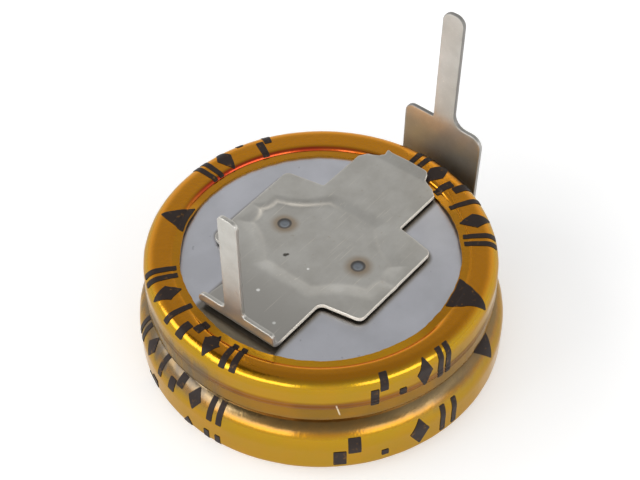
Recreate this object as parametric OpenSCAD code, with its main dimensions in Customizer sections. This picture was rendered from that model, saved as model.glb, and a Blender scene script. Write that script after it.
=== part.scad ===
// Coin-type double-layer capacitor: two sealed cells in series under one shrunk film sleeve,
// with a welded sheet terminal on each end face. It stands on the lower terminal, pins up.
// Millimetres. Z = 0 is the face it stands on, Z runs along the axis of the cells, and X points
// from the short pin to the pin on the riser.

/* [Cells] */
// Outside diameter of the upper cell's can
upper_cell_d = 19.36; // [18.8:0.02:20]
// Outside diameter of the lower cell's can
lower_cell_d = 20.6; // [20.2:0.02:21.4]
// Height of one cell from its contact base to its crimped edge
cell_h = 3.35; // [3:0.05:4.2]
// Outside radius of the upper cell's crimped shoulder
upper_shoulder_r = 0.65; // [0.3:0.05:0.9]
// Outside radius of the lower cell's crimped shoulder
lower_shoulder_r = 1.55; // [0.6:0.05:1.7]
// Radius of the drawn corner at the foot of the upper cell's can
upper_foot_r = 0.8; // [0.3:0.05:1]
// Radius of the drawn corner at the foot of the lower cell's can
lower_foot_r = 0.3; // [0.2:0.05:0.8]
// Height that the crimped edge stands above the lid
crimp_rise = 0.2; // [0.12:0.02:0.3]
// Diameter of the flat lid inside the crimped edge
lid_d = 16.5; // [16:0.1:16.8]
// Air between a crimped edge and the foot of the can above it
crimp_gap = 0.05; // [0.02:0.01:0.15]

/* [Sleeve] */
// Thickness of the shrunk film
film_t = 0.12; // [0.08:0.01:0.16]
// Width of the film lip that lies flat on the lid
lip_w = 0.55; // [0.3:0.05:0.8]
// Depth of the waist below the upper wall
waist_depth = 0.3; // [0.1:0.05:0.4]
// Distance of the film's ring crease below the top of the sleeve
crease_drop = 1.9; // [1.5:0.05:2.2]
// Height that the ring crease stands proud of the wall
crease_proud = 0.05; // [0.02:0.01:0.1]
// Radius of the ring crease in section
crease_r = 0.16; // [0.12:0.02:0.2]
// Gap between the film's lower lip and the contact base inside it
lip_gap = 0.3; // [0.1:0.05:0.5]

/* [Terminal sheet] */
// Thickness of the sheet
sheet_t = 0.25; // [0.15:0.01:0.3]
// Inside radius of each fold
bend_r = 0.25; // [0.15:0.05:0.35]
// Gap between the sheet's margin and the film's lip
lip_clear = 0.03; // [0.02:0.01:0.1]
// Gap between the lifted tab and the sleeve's rim
rim_clear = 0.05; // [0.03:0.01:0.15]
// Width of the arms, also of the flange and the riser
arm_w = 5.46; // [4.8:0.02:6]
// Width across the side lobes
lobe_span = 10.3; // [9.6:0.1:11]
// Length of a lobe along its outer edge
lobe_l = 6.2; // [5.4:0.1:6.6]
// Length of the lobes where they leave the arms
lobe_root_l = 7.1; // [6.8:0.1:7.6]
// Distance of the lobes from the cell's axis, towards the cut-off end
lobe_shift = 0.1; // [0:0.05:0.4]
// Distance from the cell's axis to where the corners of the cut-off end begin
cut_x = 6.85; // [6.2:0.05:7]
// Distance from the cell's axis to the root of the tab left at the cut-off end
tab_x = 7.5; // [7.2:0.05:7.8]
// Width of the tab
tab_w = 3; // [2:0.1:3.6]
// Length of the tab
tab_l = 0.75; // [0.4:0.05:0.9]
// Corner radius of the lobes and of the notches beside the folded arm
blank_r = 0.4; // [0.2:0.05:0.6]
// Corner radius where the die cuts sharp
sharp_r = 0.12; // [0.05:0.01:0.2]

/* [Pressed pocket] */
// Length of the pocket along the arms, on its floor
pocket_l = 5.4; // [4.8:0.1:6]
// Width of the pocket's ends across the arms, on its floor
pocket_end_w = 3.1; // [2.4:0.1:3.6]
// Width of the pocket across the lobes, on its floor
pocket_span = 8.6; // [8:0.1:9]
// Length of the pocket's ends in the lobes, on its floor
pocket_lobe_l = 2; // [1.6:0.1:2.6]
// Length of the lobes' pocket where it crosses the arms, on its floor
pocket_root_l = 5; // [4:0.1:5.2]
// Width of the pocket's sloping wall
pocket_slope = 0.35; // [0.2:0.05:0.5]
// Distance between the two spot welds
weld_pitch = 5.2; // [4.6:0.1:5.8]
// Diameter of a spot weld's crater
weld_d = 0.55; // [0.4:0.05:0.8]
// Depth of a spot weld's crater
weld_depth = 0.06; // [0.02:0.01:0.1]

/* [Upper terminal] */
// Distance from the cell's axis to the outer face of the flange
flange_x = 7.3; // [7:0.05:7.4]
// Height of the flange above the underside of the sheet
flange_h = 1.2; // [1:0.05:1.4]
// Width of the short pin
upper_pin_w = 1.2; // [0.8:0.05:1.4]
// Length of the short pin above the flange
upper_pin_l = 6.6; // [4:0.1:9]
// Radius of the short pin's tip corners
upper_tip_r = 0.25; // [0.1:0.05:0.35]
// Radius of the fillets at the foot of the short pin
upper_root_r = 0.3; // [0.1:0.05:0.5]
// Radius of the flange's top corners
flange_r = 0.25; // [0.1:0.05:0.25]

/* [Lower terminal] */
// Turn of the lower terminal about the cell's axis, in degrees
lower_turn = -2; // [-8:0.5:8]
// Lean of the riser and its pin in their own plane, in degrees
riser_lean = 1.3; // [-3:0.1:3]
// Gap between the sleeve and the riser
riser_gap = 0.18; // [0.05:0.01:0.5]
// Height of the riser's shoulders above the top of the sleeve
seat_rise = 2; // [1:0.05:3]
// Width of the long pin
lower_pin_w = 1.42; // [1:0.02:1.8]
// Length of the long pin above the shoulders
lower_pin_l = 7.6; // [4:0.1:10]
// Radius of the long pin's tip corners
lower_tip_r = 0.6; // [0.2:0.05:0.6]
// Radius of the fillet beside the long pin
lower_root_r = 0.8; // [0.3:0.05:1]
// Radius of the riser's top corners
riser_r = 0.5; // [0.2:0.05:0.7]

/* [Hidden] */
$fn = 96;
eps = 0.01;

// Cells: the contact base of each can reaches down past its foot to the lid below it.
// A can is its wall radius, shoulder radius and foot radius.
upper_r = upper_cell_d / 2;
lower_r = lower_cell_d / 2;
upper_can = [upper_r, upper_shoulder_r, upper_foot_r];
lower_can = [lower_r, lower_shoulder_r, lower_foot_r];
base_step = crimp_rise + crimp_gap;
opening_r = lid_d / 2 - lip_w;
base_r = opening_r - lip_gap;
cell_pitch = cell_h - crimp_rise;

// Terminals: the pocket is as deep as the margin has to stand clear of the film's lip, and the upper
// terminal's tab is lifted over the sleeve's rim
pocket_depth = film_t + lip_clear;
tab_rise = crimp_rise + rim_clear - lip_clear;
lower_cell_z = sheet_t + pocket_depth;
upper_cell_z = lower_cell_z + cell_pitch;
sleeve_top = upper_cell_z + cell_h + film_t;
upper_sheet_z = upper_cell_z + cell_pitch + pocket_depth;
riser_x = max(upper_r, lower_r) + film_t + riser_gap + sheet_t;
shoulder_z = sleeve_top + seat_rise;
bend_out = bend_r + sheet_t;

film_colour = "#b5822c";
cell_colour = "#9b9da2";
sheet_colour = "#a5a39e";

// Unit vector from point a to point b
function toward(a, b) = (b - a) / norm(b - a);

// Corner i of an outline, without its radius
function corner(p, i) = let (c = p[(i + len(p)) % len(p)]) [c[0], c[1]];

// Unit vector along the edge that leaves corner i
function edge(p, i) = toward(corner(p, i), corner(p, i + 1));

// Sine of the turn at corner i: positive where the outline bulges out
function turn(p, i) = cross(edge(p, i - 1), edge(p, i));

// Outline p with every edge moved out by the same distance
function grown(p, out) = [
    for (i = [0:len(p) - 1])
    let (a = edge(p, i - 1), b = edge(p, i))
    corner(p, i) + [a[1] + b[1], -a[0] - b[0]] * out / (1 + a * b)
];

// Half of the angle inside corner i
function half_angle(p, i) = acos(-edge(p, i - 1) * edge(p, i)) / 2;

// Points where the arc that rounds corner i meets the edges beside it
function tangents(p, i) = let (reach = p[i][2] / tan(half_angle(p, i)))
    reach > 0 ? [corner(p, i) - edge(p, i - 1) * reach, corner(p, i) + edge(p, i) * reach] : [corner(p, i)];

// Disc whose arc rounds corner i
module corner_disc(p, i) {
    inward = toward([0, 0], edge(p, i) - edge(p, i - 1));
    translate(corner(p, i) + inward * p[i][2] / sin(half_angle(p, i))) circle(p[i][2]);
}

// Outline through corners [x, y, radius], counter-clockwise, with every corner rounded
module rounded_outline(p) {
    all = [0:len(p) - 1];
    difference() {
        union() {
            polygon([for (i = all) each tangents(p, i)]);
            for (i = all) if (p[i][2] > 0 && turn(p, i) > 0) corner_disc(p, i);
        }
        for (i = all) if (p[i][2] > 0 && turn(p, i) < 0) corner_disc(p, i);
    }
}

// Half section of a can's outside, grown by the film's thickness where it is the sleeve's
module can_section(can, grow = 0) {
    wall_r = can[0] + grow;
    top_r = can[1] + grow;
    low_r = can[2] + grow;
    low = base_step - grow;
    high = cell_h + grow;
    translate([0, low]) square([wall_r - low_r, low_r]);
    translate([wall_r - low_r, low + low_r]) circle(low_r);
    translate([0, low + low_r]) square([wall_r, high - top_r - low - low_r]);
    translate([wall_r - top_r, high - top_r]) circle(top_r);
    translate([0, high - top_r]) square([wall_r - top_r, top_r]);
}

// Recess over the lid, with the crimped edge rolled over into it
module lid_recess(grow = 0) {
    difference() {
        translate([0, cell_h - crimp_rise + grow]) square([lid_d / 2 + crimp_rise, crimp_rise + eps]);
        translate([lid_d / 2 + crimp_rise, cell_h - crimp_rise]) circle(crimp_rise + grow);
    }
}

// One sealed cell standing on its contact base
module cell(can) {
    color(cell_colour) rotate_extrude() {
        difference() {
            can_section(can);
            lid_recess();
        }
        square([base_r, base_step]);
    }
}

module upper_cell() {
    translate([0, 0, upper_cell_z]) cell(upper_can);
}

module lower_cell() {
    translate([0, 0, lower_cell_z]) cell(lower_can);
}

// Half section of the stacked cells, with the film's thickness added outside them
module stack_section(grow) {
    waist_r = min(upper_r, lower_r) - waist_depth + grow;
    translate([0, upper_cell_z]) can_section(upper_can, grow);
    translate([0, lower_cell_z]) can_section(lower_can, grow);
    translate([0, lower_cell_z + cell_h / 2]) square([waist_r, cell_pitch]);
}

module sleeve() {
    crease = [upper_r + film_t + crease_proud - crease_r, sleeve_top - crease_drop];
    color(film_colour) rotate_extrude() difference() {
        union() {
            stack_section(film_t);
            translate(crease) circle(crease_r);
        }
        difference() {
            stack_section(0);
            translate([0, upper_cell_z]) lid_recess();
        }
        translate([0, upper_cell_z]) lid_recess(film_t);
        square([opening_r, sleeve_top + eps]);
    }
}

// Flat blank of a terminal, from the fold at -X to the root of the tab at +X
module blank(fold_x) {
    near = lobe_shift - lobe_root_l / 2;
    far = lobe_shift + lobe_root_l / 2;
    half = [
        [-fold_x, -arm_w / 2, 0],
        [near, -arm_w / 2, blank_r],
        [lobe_shift - lobe_l / 2, -lobe_span / 2, blank_r],
        [lobe_shift + lobe_l / 2, -lobe_span / 2, blank_r],
        [far, -arm_w / 2, sharp_r],
        [cut_x, -arm_w / 2, 0],
        [tab_x, -tab_w / 2, 0],
    ];
    other = [for (i = [len(half) - 1:-1:0]) [half[i][0], -half[i][1], half[i][2]]];
    rounded_outline(concat(half, other));
}

// Tab at the cut-off end, bent up at its root until its end is lifted by the given height
module tab(lift) {
    bend = asin(lift / tab_l);
    end = [tab_x + tab_l * cos(bend), lift];
    side = [
        [tab_x, 0], end, end + sheet_t * [-sin(bend), cos(bend)], [tab_x - sheet_t * tan(bend / 2), sheet_t],
    ];
    intersection() {
        translate([0, tab_w / 2, 0]) rotate([90, 0, 0]) linear_extrude(tab_w) polygon(side);
        linear_extrude(lift + sheet_t) rounded_outline([
            [tab_x - sheet_t, -tab_w / 2, 0], [end[0], -tab_w / 2, sharp_r],
            [end[0], tab_w / 2, sharp_r], [tab_x - sheet_t, tab_w / 2, 0],
        ]);
    }
}

// Block that widens upwards from the floor of the pocket to the underside of the sheet's margin
module sloped_block(low) {
    n = len(low);
    rim = grown(low, pocket_slope);
    points = concat([for (q = low) [q[0], q[1], -pocket_depth]], [for (q = rim) [q[0], q[1], 0]]);
    sides = [for (i = [0:n - 1]) [i, n + i, n + (i + 1) % n, (i + 1) % n]];
    polyhedron(points, concat([[for (i = [0:n - 1]) i]], sides, [[for (i = [n - 1:-1:0]) n + i]]));
}

// Solid of the pressed pocket: an eight-sided block along the arms and a six-sided one along the lobes
module pocket() {
    x = [pocket_l / 2, pocket_root_l / 2, pocket_lobe_l / 2];
    y = [pocket_end_w / 2, (pocket_end_w + pocket_l - pocket_lobe_l) / 2, pocket_span / 2];
    sloped_block([
        [x[0], -y[0]], [x[0], y[0]], [x[2], y[1]], [-x[2], y[1]],
        [-x[0], y[0]], [-x[0], -y[0]], [-x[2], -y[1]], [x[2], -y[1]],
    ]);
    sloped_block([[x[1], 0], [x[2], y[2]], [-x[2], y[2]], [-x[1], 0], [-x[2], -y[2]], [x[2], -y[2]]]);
}

// Welded sheet with its pocket pressed down to the cell and its weld craters on top
module sheet(fold_x, tab_lift = 0) {
    difference() {
        union() {
            linear_extrude(sheet_t) blank(fold_x);
            tab(tab_lift);
            pocket();
        }
        translate([0, 0, sheet_t]) pocket();
        for (side = [-1, 1])
            translate([0, side * weld_pitch / 2, sheet_t - pocket_depth - weld_depth])
                cylinder(d = weld_d, h = weld_depth + eps);
    }
}

// Upright wall of a folded terminal with its pin, facing -X, leaning sideways from the top of the fold
module upright(face_x, top, tip, pin_w, tip_r, root_r, corner_r, lean = 0) {
    top_shift = (top - bend_out) * tan(lean);
    tip_shift = (tip - bend_out) * tan(lean);
    outline = [
        [arm_w / 2, bend_out, 0],
        [arm_w / 2 + top_shift, top, corner_r],
        [pin_w / 2 + top_shift, top, root_r[1]],
        [pin_w / 2 + tip_shift, tip, tip_r],
        [-pin_w / 2 + tip_shift, tip, tip_r],
        [-pin_w / 2 + top_shift, top, root_r[0]],
        [-arm_w / 2 + top_shift, top, corner_r],
        [-arm_w / 2, bend_out, 0],
    ];
    translate([-face_x, 0, 0]) rotate([90, 0, 90]) linear_extrude(sheet_t) rounded_outline(outline);
}

// Quarter fold from the sheet up into an upright whose outer face is at -face_x
module fold(face_x) {
    translate([bend_out - face_x, arm_w / 2, bend_out]) rotate([90, 0, 0]) intersection() {
        difference() {
            cylinder(r = bend_out, h = arm_w);
            translate([0, 0, -eps]) cylinder(r = bend_r, h = arm_w + 2 * eps);
        }
        translate([-bend_out, -bend_out, 0]) cube([bend_out, bend_out, arm_w]);
    }
}

module upper_terminal() {
    color(sheet_colour) translate([0, 0, upper_sheet_z]) {
        sheet(flange_x - bend_out, tab_rise);
        fold(flange_x);
        upright(flange_x, flange_h, flange_h + upper_pin_l, upper_pin_w, upper_tip_r,
            [upper_root_r, upper_root_r], flange_r);
    }
}

module lower_terminal() {
    color(sheet_colour) rotate([0, 0, lower_turn + 180]) {
        translate([0, 0, sheet_t]) mirror([0, 0, 1]) sheet(riser_x - bend_out);
        fold(riser_x);
        upright(riser_x, shoulder_z, shoulder_z + lower_pin_l, lower_pin_w, lower_tip_r,
            [sharp_r, lower_root_r], riser_r, riser_lean);
    }
}

upper_cell();
lower_cell();
sleeve();
upper_terminal();
lower_terminal();
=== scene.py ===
"""Looks of a coin-type double-layer capacitor: film sleeve, print, folded terminals and sealed cells.

Lengths are in millimetres, which MM turns into metres. Z is the axis of the cells.
"""

import logging
import math
from dataclasses import dataclass
from enum import Enum
from typing import Any, Sequence

import bmesh
import bpy
import numpy as np
from mathutils import Matrix, Vector, geometry, noise


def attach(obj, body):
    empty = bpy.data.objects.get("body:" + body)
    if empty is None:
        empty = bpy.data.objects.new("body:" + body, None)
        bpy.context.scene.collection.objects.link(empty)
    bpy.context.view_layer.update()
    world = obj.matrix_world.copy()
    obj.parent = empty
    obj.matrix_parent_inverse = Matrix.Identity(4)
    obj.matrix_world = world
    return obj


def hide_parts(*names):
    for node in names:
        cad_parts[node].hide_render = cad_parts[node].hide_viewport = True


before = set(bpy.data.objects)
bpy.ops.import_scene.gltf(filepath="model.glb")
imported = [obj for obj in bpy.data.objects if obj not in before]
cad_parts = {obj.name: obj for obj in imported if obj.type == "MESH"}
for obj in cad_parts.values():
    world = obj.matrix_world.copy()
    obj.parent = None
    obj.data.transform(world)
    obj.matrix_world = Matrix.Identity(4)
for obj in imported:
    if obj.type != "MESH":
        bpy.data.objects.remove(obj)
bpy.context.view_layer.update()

MM = 0.001
BODY = "root"
RING_SHIFT = 0.34
RING_TURN = math.radians(219.4)
EDGE_CLEARANCE = 0.55
STRAIGHT = math.radians(89.5)
MERGE_GAP = 1e-7
TINY = 1e-12
LOG = logging.getLogger("capacitor")

Point = tuple[float, float]
Corner = tuple[float, float, float]
Colour = tuple[float, float, float, float]


class Slot(Enum):
    """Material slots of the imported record."""

    CELL = "cell_metal"
    FILM = "amber_film"
    SHEET = "terminal_metal"


class Mark(Enum):
    """Plain shapes that the print is made of."""

    BAR = "bar"
    PAIR = "pair"
    STEP = "step"
    DIAMOND = "diamond"
    DOT = "dot"
    WEDGE = "wedge"


def linear(red: int, green: int, blue: int) -> Colour:
    """Turns a screen colour into the linear values that shaders use.

    Args:
        red: Red from 0 to 255.
        green: Green from 0 to 255.
        blue: Blue from 0 to 255.

    Returns:
        The linear colour with full alpha.
    """
    def one(value: int) -> float:
        """Linear value of one channel."""
        share = value / 255
        return share / 12.92 if share <= 0.04045 else ((share + 0.055) / 1.055) ** 2.4
    return one(red), one(green), one(blue), 1.0


def smooth(value: Any, low: float, high: float) -> Any:
    """Smooth step from 0 at low to 1 at high.

    Args:
        value: A number or an array of numbers.
        low: Where the step starts.
        high: Where the step ends.

    Returns:
        The step's value, of the same kind as value.
    """
    share = np.clip((value - low) / (high - low), 0.0, 1.0)
    return share * share * (3 - 2 * share)


def ring_offset(turn: Any) -> Any:
    """How far the crimped ring and the film's lip sit off the axis at a turn, in millimetres."""
    return RING_SHIFT * np.cos(turn - RING_TURN)


def run_lengths(profile: np.ndarray) -> np.ndarray:
    """Lengths along a profile up to each of its points."""
    return np.concatenate([[0.0], np.cumsum(np.linalg.norm(np.diff(profile, axis=0), axis=1))])


def hump(value: Any, middle: Any, width: float) -> Any:
    """Bell curve of height 1 around a middle."""
    return np.exp(-((value - middle) / width) ** 2)


class Wire:
    """A node's output that can be reckoned with like a number."""

    def __init__(self, kit: "NodeKit", socket: bpy.types.NodeSocket) -> None:
        self.kit, self.socket = kit, socket

    def __add__(self, other: Any) -> "Wire":
        """Sum of this and another value."""
        return self.kit.math("ADD", self, other)

    def __sub__(self, other: Any) -> "Wire":
        """This value less another."""
        return self.kit.math("SUBTRACT", self, other)

    def __rsub__(self, other: float) -> "Wire":
        """A number less this value."""
        return self.kit.math("SUBTRACT", other, self)

    def __mul__(self, other: Any) -> "Wire":
        """Product of this and another value."""
        return self.kit.math("MULTIPLY", self, other)

    def __abs__(self) -> "Wire":
        """This value without its sign."""
        return self.kit.math("ABSOLUTE", self)


class NodeKit:
    """Short calls that build one shader or geometry node tree."""

    def __init__(self, tree: bpy.types.NodeTree) -> None:
        """Keeps the tree and removes what it starts with."""
        self.tree = tree
        tree.nodes.clear()

    def add(self, kind: str, inputs: dict[Any, Any] | None = None, **settings: Any) -> bpy.types.Node:
        """Adds a node.

        Args:
            kind: Blender's name of the node type.
            inputs: Values or outputs for the node's inputs, by name or number.
            **settings: The node's own properties.

        Returns:
            The new node.
        """
        node = self.tree.nodes.new(kind)
        for key, value in settings.items():
            setattr(node, key, value)
        for key, value in (inputs or {}).items():
            source = value.socket if isinstance(value, Wire) else value
            if isinstance(source, bpy.types.NodeSocket):
                self.tree.links.new(source, node.inputs[key])
            else:
                node.inputs[key].default_value = source
        return node

    def out(self, kind: str, inputs: dict[Any, Any] | None = None, output: Any = 0, **settings: Any) -> Wire:
        """One output, by name or number, of a node that is added."""
        return Wire(self, self.add(kind, inputs, **settings).outputs[output])

    def math(self, operation: str, *values: Any) -> Wire:
        """Result of a Math node on numbers or outputs."""
        return self.out("ShaderNodeMath", dict(enumerate(values)), operation=operation)

    def vector(self, operation: str, *values: Any, output: Any = 0) -> Wire:
        """Result of a Vector Math node on vectors or outputs."""
        return self.out("ShaderNodeVectorMath", dict(enumerate(values)), output, operation=operation)

    def distance(self, place: Wire, centre: Corner) -> Wire:
        """Distance of a place from a centre."""
        return self.vector("DISTANCE", place, centre, output="Value")

    def parts(self, vector: Any) -> list[Wire]:
        """The three coordinates of a vector."""
        return [Wire(self, part) for part in self.add("ShaderNodeSeparateXYZ", {0: vector}).outputs]

    def attribute(self, name: str) -> Wire:
        """A number that the mesh keeps at its points."""
        return self.out("ShaderNodeAttribute", output="Fac", attribute_name=name)

    def mix(self, share: Any, first: Any, second: Any) -> Wire:
        """Colour mixed from first to second by share."""
        return self.out("ShaderNodeMix", {0: share, 6: first, 7: second}, 2, data_type="RGBA")

    def layered(self, colour: Any, layers: Sequence[tuple[Any, Any]]) -> Any:
        """Covers a colour with others in turn.

        Args:
            colour: The colour below.
            layers: The share and the colour of each cover.

        Returns:
            The colour on top.
        """
        for share, cover in layers:
            colour = self.mix(share, colour, cover)
        return colour

    def span(self, value: Any, low: Any, high: Any, start: float = 0.0, end: float = 1.0) -> Wire:
        """Value mapped smoothly from low..high to start..end."""
        inputs = {0: value, 1: low, 2: high, 3: start, 4: end}
        return self.out("ShaderNodeMapRange", inputs, interpolation_type="SMOOTHSTEP")

    def fade(self, value: Any, low: Any, high: Any, start: float = 1.0) -> Wire:
        """Value mapped smoothly from low..high to start..0."""
        return self.span(value, low, high, start, 0.0)

    def ramp(self, value: Any, stops: Sequence[tuple[float, Colour]]) -> Wire:
        """Reads a colour from a ramp.

        Args:
            value: Where to read it.
            stops: Places and colours of the ramp.

        Returns:
            The colour.
        """
        node = self.add("ShaderNodeValToRGB", {0: value})
        elements = node.color_ramp.elements
        while len(elements) < len(stops):
            elements.new(0.5)
        for element, (place, colour) in zip(elements, sorted(stops)):
            element.position = place
            element.color = colour
        return Wire(self, node.outputs[0])

    def noise(self, coord: Any, scale: float, detail: float = 3.0, rough: float = 0.5) -> Wire:
        """Noise between 0 and 1 on the given coordinates."""
        inputs = {"Vector": coord, "Scale": scale, "Detail": detail, "Roughness": rough}
        return self.out("ShaderNodeTexNoise", inputs)

    def millimetres(self, stretch: Corner = (1.0, 1.0, 1.0), turn: float = 0.0) -> Wire:
        """Object coordinates in millimetres.

        Args:
            stretch: How far each axis is stretched.
            turn: Turn about Z in degrees.

        Returns:
            The coordinates.
        """
        coord = self.out("ShaderNodeTexCoord", output="Object")
        scale = tuple(part / MM for part in stretch)
        inputs = {"Vector": coord, "Scale": scale, "Rotation": (0.0, 0.0, math.radians(turn))}
        return self.out("ShaderNodeMapping", inputs)

    def bump(self, height: Any, depth: float) -> Wire:
        """Normal bent by a height of the given depth in millimetres."""
        return self.out("ShaderNodeBump", {"Height": height, "Distance": depth * MM, "Strength": 1.0})

    def surface(self, inputs: dict[str, Any]) -> None:
        """Ends a material in one principled shader."""
        self.add("ShaderNodeOutputMaterial", {"Surface": self.out("ShaderNodeBsdfPrincipled", inputs)})


def new_material(name: str) -> tuple[bpy.types.Material, NodeKit]:
    """Makes an empty node material.

    Args:
        name: The material's name.
    """
    material = bpy.data.materials.new(name)
    material.use_nodes = True
    return material, NodeKit(material.node_tree)


@dataclass(frozen=True)
class Speck:
    """A small spot on the sheet: where it is, how large it is, its colour and whether it is bare metal."""

    place: Corner
    radius: float
    tint: Colour
    metal: bool = True


@dataclass(frozen=True)
class SheetFinish:
    """Plated sheet metal with rolling lines, scratches and heat tint at the welds; its bright cut edges are
    bare metal with painted highlight, and it carries a painted highlight along the pocket's rim and painted
    shade towards the fold at its front.
    """

    name: str
    welds: tuple[Corner, ...]
    specks: tuple[Speck, ...] = ()
    matt_from: float = 99.0
    matt_run: float = 1.2
    tint: Colour = linear(202, 200, 194)
    # Painted shade: the plate's colour turns darker towards the fold at its front, between these x and z
    # limits.
    painted_front_shade: Colour = linear(172, 169, 163)
    front_shade_x: Point = (-5.6, -2.2)
    front_shade_z: Point = (7.1, 7.2)
    shade: Colour = linear(183, 180, 173)
    edge: Colour = linear(238, 231, 218)
    scorch: Colour = linear(160, 142, 120)
    scorch_r: Point = (0.42, 0.95)
    nugget: Colour = linear(134, 139, 145)
    nugget_r: Point = (0.2, 0.33)
    ring: Colour = linear(94, 92, 90)
    ring_r: Point = (0.36, 0.46)
    roughness: float = 0.37
    metal: float = 0.93
    relief: float = 0.004

    def weld_distance(self, kit: NodeKit, place: Wire) -> Any:
        """Distance in millimetres to the nearest weld.

        Args:
            kit: The material's kit.
            place: Coordinates in millimetres.

        Returns:
            The distance.
        """
        nearest: Any = 9.0
        for centre in self.welds:
            nearest = kit.math("MINIMUM", nearest, kit.distance(place, centre))
        return nearest

    def material(self) -> bpy.types.Material:
        """Builds the finish as a material.

        Returns:
            The material.
        """
        material, kit = new_material(self.name)
        place = kit.millimetres()
        x, _, z = kit.parts(place)
        lines = kit.noise(kit.millimetres((0.7, 8.0, 8.0)), 1.0, 4.0)
        mottle = kit.noise(place, 0.55, 5.0, 0.6)
        speck = kit.span(kit.noise(place, 3.1, 2.0), 0.7, 0.76)
        scratch = kit.span(kit.noise(kit.millimetres((0.35, 11.0, 11.0), 33.0), 1.0, 2.0), 0.66, 0.72)
        # Cut edges: bare metal, made lighter and less metallic; part of this brightness is painted highlight,
        # which the shares dim on the sheet's left side. Negative shares give grey edges.
        cut = kit.attribute("cut_edge")
        worn, grey = kit.math("MAXIMUM", cut, 0.0), kit.math("MAXIMUM", cut * -1.0, 0.0)
        # Painted highlight along the pocket's rim, standing in for its slopes catching the light; it also
        # makes the rim less metallic.
        pressed = kit.attribute("pocket_rim_highlight") * kit.span(kit.noise(place, 0.9, 2.0), 0.3, 0.6, 0.3, 0.95)
        away = self.weld_distance(kit, place)
        stained = away + (mottle - 0.5) * 0.7
        colour = kit.layered(self.tint, (
            (kit.span(mottle, 0.3, 0.75), self.shade),
            (lines * 0.35, self.shade),
            # Painted shade: the front of the plate, towards the fold, is darkened.
            (kit.fade(x, *self.front_shade_x, 0.9) * kit.fade(z, *self.front_shade_z), self.painted_front_shade),
            (scratch * 0.3, self.edge),
            (speck * 0.25, self.scorch),
            (worn * 0.9, self.edge),
            (grey, self.ring),
            (pressed, self.edge),
            (kit.fade(stained, *self.scorch_r, 0.85), self.scorch),
            (kit.fade(away, *self.ring_r, 0.95), self.ring),
            (kit.fade(away, *self.nugget_r), self.nugget),
        ))
        metal = self.metal - worn * 0.75 - pressed * 0.45
        metal = metal - kit.span(z, self.matt_from, self.matt_from + self.matt_run, 0.0, 0.5)
        for spot in self.specks:
            mask = kit.fade(kit.distance(place, spot.place), spot.radius * 0.5, spot.radius, 0.9)
            colour = kit.mix(mask, colour, spot.tint)
            if not spot.metal:
                metal = metal - mask
        kit.surface({
            "Base Color": colour, "Metallic": metal, "Roughness": mottle * 0.1 + self.roughness,
            "Normal": kit.bump(lines * 0.6 - scratch * 0.5, self.relief),
        })
        return material


@dataclass(frozen=True)
class CellFinish:
    """Drawn can metal: cool grey, finely matt, with faint handling marks, and painted shade on the lid in
    front of the near fold and along the sheet's edge.
    """

    name: str = "drawn_can_metal"
    tint: Colour = linear(213, 214, 221)
    shade: Colour = linear(200, 201, 207)
    fleck: Colour = linear(120, 122, 128)
    # Painted shade on the lid: a box in front of the near fold, for the fold's dark reflection, and a shadow
    # strip along the sheet's edge.
    painted_lid_shade: Colour = linear(102, 91, 68)
    flange_shade_at: Point = (-7.62, -0.2)
    flange_shade_half: Point = (0.42, 2.45)
    flange_shade_edge: Point = (-0.1, 0.15)
    sheet_edges: Point = (2.77, 2.36)
    shadow_band_reach: Point = (0.05, 0.36)
    shadow_band_z: Point = (6.0, 6.5)
    corner_r: float = 0.4
    lobe_reach: float = 5.15
    lobe_middle: float = 0.1
    lobe_half: float = 3.1
    lobe_flare: float = 0.186
    roughness: float = 0.29
    relief: float = 0.002

    def beside_sheet(self, kit: NodeKit, parts: Sequence[Wire]) -> Wire:
        """Distance in millimetres from the edge of the cross-shaped sheet that lies over the lid.

        Args:
            kit: The material's kit.
            parts: Coordinates in millimetres.

        Returns:
            The distance, which is positive outside the sheet.
        """
        short = abs(parts[1]) - self.lobe_reach
        flank = abs(parts[0] - self.lobe_middle) - self.lobe_half + short * self.lobe_flare
        over = [kit.math("MAXIMUM", side + self.corner_r, 0.0) for side in (short, flank)]
        lobe = kit.math("SQRT", over[0] * over[0] + over[1] * over[1]) - self.corner_r
        right = parts[1] * -1.0 - self.sheet_edges[0]
        left = parts[1] - self.sheet_edges[1]
        return kit.math("MINIMUM", lobe, kit.math("MAXIMUM", right, left))

    def material(self) -> bpy.types.Material:
        """Builds the finish as a material.

        Returns:
            The material.
        """
        material, kit = new_material(self.name)
        place = kit.millimetres()
        parts = kit.parts(place)
        grain = kit.noise(place, 9.0, 4.0, 0.65)
        mottle = kit.noise(place, 0.4, 4.0, 0.55)
        fleck = kit.span(kit.noise(place, 2.3, 2.0), 0.73, 0.78)
        # Painted shade: the box in front of the near fold, for the fold's dark reflection on the lid.
        painted_lid_shade: Any = 0.9
        for part, middle, half in zip(parts, self.flange_shade_at, self.flange_shade_half):
            painted_lid_shade = kit.fade(abs(part - middle), *(half + edge for edge in self.flange_shade_edge)) * painted_lid_shade
        # Painted shadow along the sheet's edge, on the upper lid only.
        shade_band = kit.fade(self.beside_sheet(kit, parts), *self.shadow_band_reach, 0.8)
        shade_band = shade_band * kit.span(parts[2], *self.shadow_band_z)
        colour = kit.layered(self.tint, (
            (kit.span(mottle, 0.3, 0.7), self.shade),
            (grain * 0.2, self.shade),
            (fleck * 0.3, self.fleck),
            (kit.math("MAXIMUM", painted_lid_shade, shade_band), self.painted_lid_shade),
        ))
        kit.surface({
            "Base Color": colour, "Metallic": 1.0, "Roughness": grain * 0.08 + self.roughness,
            "Normal": kit.bump(grain, self.relief),
        })
        return material


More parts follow.
